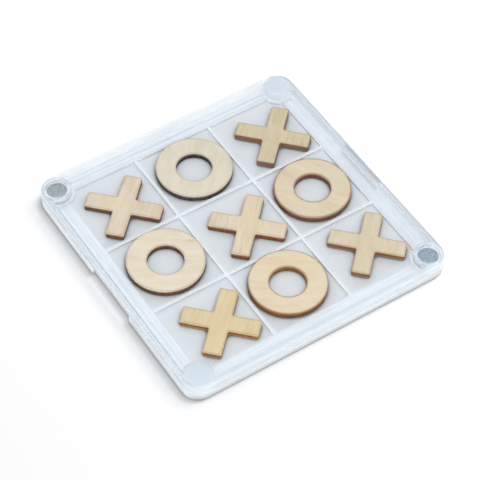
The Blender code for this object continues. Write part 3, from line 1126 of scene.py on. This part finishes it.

# name, outline turn and grain turn in degrees, light and dark face colours, browning of the
# cut line (partly painted shade), grain contrast, then the edge colours from the bottom up,
# which hold painted light and shade
CROSSES = (
    ("cross_1", 44.6, 45.0, (0.600, 0.526, 0.380), (0.527, 0.446, 0.309), 0.90, 1.7,
     ((0.298, 0.165, 0.111), (0.262, 0.164, 0.104), (0.327, 0.136, 0.085), (0.295, 0.202, 0.111))),
    ("cross_2", 44.9, 44.0, (0.657, 0.575, 0.452), (0.585, 0.493, 0.370), 0.80, 1.7,
     ((0.214, 0.090, 0.047), (0.164, 0.088, 0.048), (0.511, 0.282, 0.188), (0.980, 0.802, 0.593))),
    ("cross_3", 45.7, 46.0, (0.674, 0.588, 0.452), (0.606, 0.515, 0.380), 0.90, 1.7,
     ((0.214, 0.061, 0.030), (0.270, 0.114, 0.043), (0.579, 0.311, 0.200), (0.975, 0.883, 0.668))),
    ("cross_4", 44.6, 45.0, (0.640, 0.568, 0.435), (0.567, 0.493, 0.364), 0.90, 1.7,
     ((0.375, 0.220, 0.123), (0.277, 0.132, 0.068), (0.336, 0.172, 0.070), (0.825, 0.560, 0.381))),
    ("cross_5", 44.6, 43.0, (0.666, 0.566, 0.357), (0.589, 0.484, 0.293), 0.90, 1.15,
     ((0.483, 0.283, 0.121), (0.301, 0.125, 0.033), (0.711, 0.485, 0.230), (0.964, 0.705, 0.452))),
)
# as above without the outline turn, then the tint of the hole's wall, painted light and shade, and
# the knot in mm
NOUGHTS = (
    ("nought_1", 50.0, (0.668, 0.625, 0.509), (0.605, 0.551, 0.433), 0.70, 1.2,
     ((0.047, 0.030, 0.022), (0.093, 0.073, 0.064), (0.366, 0.263, 0.206), (0.889, 0.809, 0.709)),
     (0.86, 0.87, 0.87), None),
    ("nought_2", -60.0, (0.665, 0.587, 0.441), (0.591, 0.501, 0.360), 1.90, 1.2,
     ((0.158, 0.070, 0.036), (0.197, 0.090, 0.055), (0.307, 0.157, 0.100), (0.658, 0.449, 0.335)),
     (1.12, 1.15, 1.15), None),
    ("nought_3", -38.0, (0.713, 0.644, 0.523), (0.646, 0.564, 0.435), 1.00, 1.2,
     ((0.107, 0.039, 0.019), (0.172, 0.088, 0.043), (0.543, 0.327, 0.198), (0.980, 0.936, 0.777)),
     (0.90, 0.91, 0.94), (-16.2, 2.2, 2.6, 0.9)),
    ("nought_4", -38.0, (0.706, 0.612, 0.456), (0.641, 0.537, 0.383), 1.55, 1.2,
     ((0.218, 0.079, 0.020), (0.230, 0.108, 0.049), (0.361, 0.156, 0.049), (0.636, 0.340, 0.154)),
     (1.22, 1.50, 1.85), None),
)
for seed, (node, turn, grain, *look) in enumerate(CROSSES, start=1):
    piece = make_cross(node, math.radians(turn), wood_materials(node, grain, seed, *look))
    hand_over(piece, node, node)
for seed, (node, grain, *look) in enumerate(NOUGHTS, start=11):
    piece = make_nought(node, wood_materials(node, grain, seed, *look))
    hand_over(piece, node, node)


# ------------------------------------------------------------------ floor, light, camera
def floor_material():
    net = material_net("pale_floor")
    cloud = net.noise(net.place(), scale=8.0, detail=1.0)
    diffuse = net.out("ShaderNodeBsdfDiffuse", {
        "Color": net.mix(cloud, (0.445, 0.445, 0.445), (0.455, 0.455, 0.455))})
    # the floor brightens with distance for the camera alone, so low views end in a pale backdrop
    reach = net.out("ShaderNodeVectorMath", {0: net.place()}, socket="Value", operation="LENGTH")
    seen = net.out("ShaderNodeLightPath", socket="Is Camera Ray")
    rise = net.times(net.ramp(reach, [(0.16, 0.0), (0.80, 0.55)]), seen)
    # and its glow carries painted contact shade, darkest right under the edge of the case
    under = net.ramp(net.occlusion(0.8 * MM), [
        (0.42, (0.55, 0.56, 0.58)), (0.60, (0.90, 0.91, 0.92)), (0.78, (1.0, 1.0, 1.0))])
    glow = net.out("ShaderNodeEmission", {"Color": under, "Strength": net.plus(rise, 0.165)})
    return net.output(net.out("ShaderNodeAddShader", {0: diffuse, 1: glow}))


def make_floor():
    bpy.ops.mesh.primitive_plane_add(size=3.0, location=(0, 0, -0.05 * MM))
    floor = bpy.context.object
    floor.name = "floor"
    floor.data.materials.append(floor_material())
    floor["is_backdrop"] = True
    return floor


def make_world():
    """A pale sky, brighter upwards, that the camera sees as plain white."""
    world = bpy.data.worlds.new("studio")
    scene.world = world
    net = Net(world)
    _, _, height = net.split(net.out("ShaderNodeTexCoord", socket="Generated"))
    sky = net.ramp(height, [(0.0, (0.78, 0.81, 0.84)), (0.2, (0.84, 0.86, 0.88)),
                            (0.5, (0.95, 0.955, 0.96)), (1.0, (1.0, 1.0, 1.0))])
    lit = net.out("ShaderNodeBackground", {"Color": sky, "Strength": 0.90})
    white = net.out("ShaderNodeBackground", {"Color": (0.97, 0.975, 0.98)})
    seen = net.out("ShaderNodeLightPath", socket="Is Camera Ray")
    net.output(net.mix_shader(seen, lit, white), kind="ShaderNodeOutputWorld")


def collect(name, objects):
    made = bpy.data.collections.new(name)
    for obj in objects:
        made.objects.link(obj)
    return made


def disc_light(name, at, size, power, receivers):
    """A disc that points at the origin and lights only its receivers."""
    light = bpy.data.lights.new(name, "AREA")
    light.shape = "DISK"
    light.size = size
    light.energy = power
    obj = bpy.data.objects.new(name, light)
    obj.location = at
    obj.rotation_euler = (Vector() - Vector(at)).to_track_quat("-Z", "Y").to_euler()
    scene.collection.objects.link(obj)
    obj.light_linking.receiver_collection = receivers
    obj.visible_glossy = False
    obj.visible_transmission = False
    return obj


def make_camera():
    camera = bpy.data.cameras.new("camera")
    camera.lens = 140.99
    camera.sensor_width = 36.0
    camera.clip_start = 0.01
    camera.clip_end = 10.0
    shot = bpy.data.objects.new("camera", camera)
    right = Vector((0.8382297, -0.5450226, 0.0179265)).normalized()
    back = Vector((-0.3526016, -0.5166285, 0.7802353)).normalized()
    up = back.cross(right).normalized()
    right = up.cross(back)
    rotation = Matrix((right, up, back)).transposed().to_4x4()
    shot.matrix_world = Matrix.Translation((-0.200184, -0.293398, 0.440095)) @ rotation
    scene.collection.objects.link(shot)
    scene.camera = shot


floor = make_floor()
make_world()

# The set is lit softly from the near side; the floor has its own light, from the right, for
# the drop shadow of the case.
set_only = collect("lit_set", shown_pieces())
floor_only = collect("lit_floor", [floor])
disc_light("key", at=(-0.06, -0.35, 0.74), size=0.55, power=2.5, receivers=set_only)
drop = disc_light("drop", at=(0.495, 0.0, 0.64), size=0.30, power=9.9, receivers=floor_only)
drop.light_linking.blocker_collection = collect("drop_blockers", [tray, base])

make_camera()
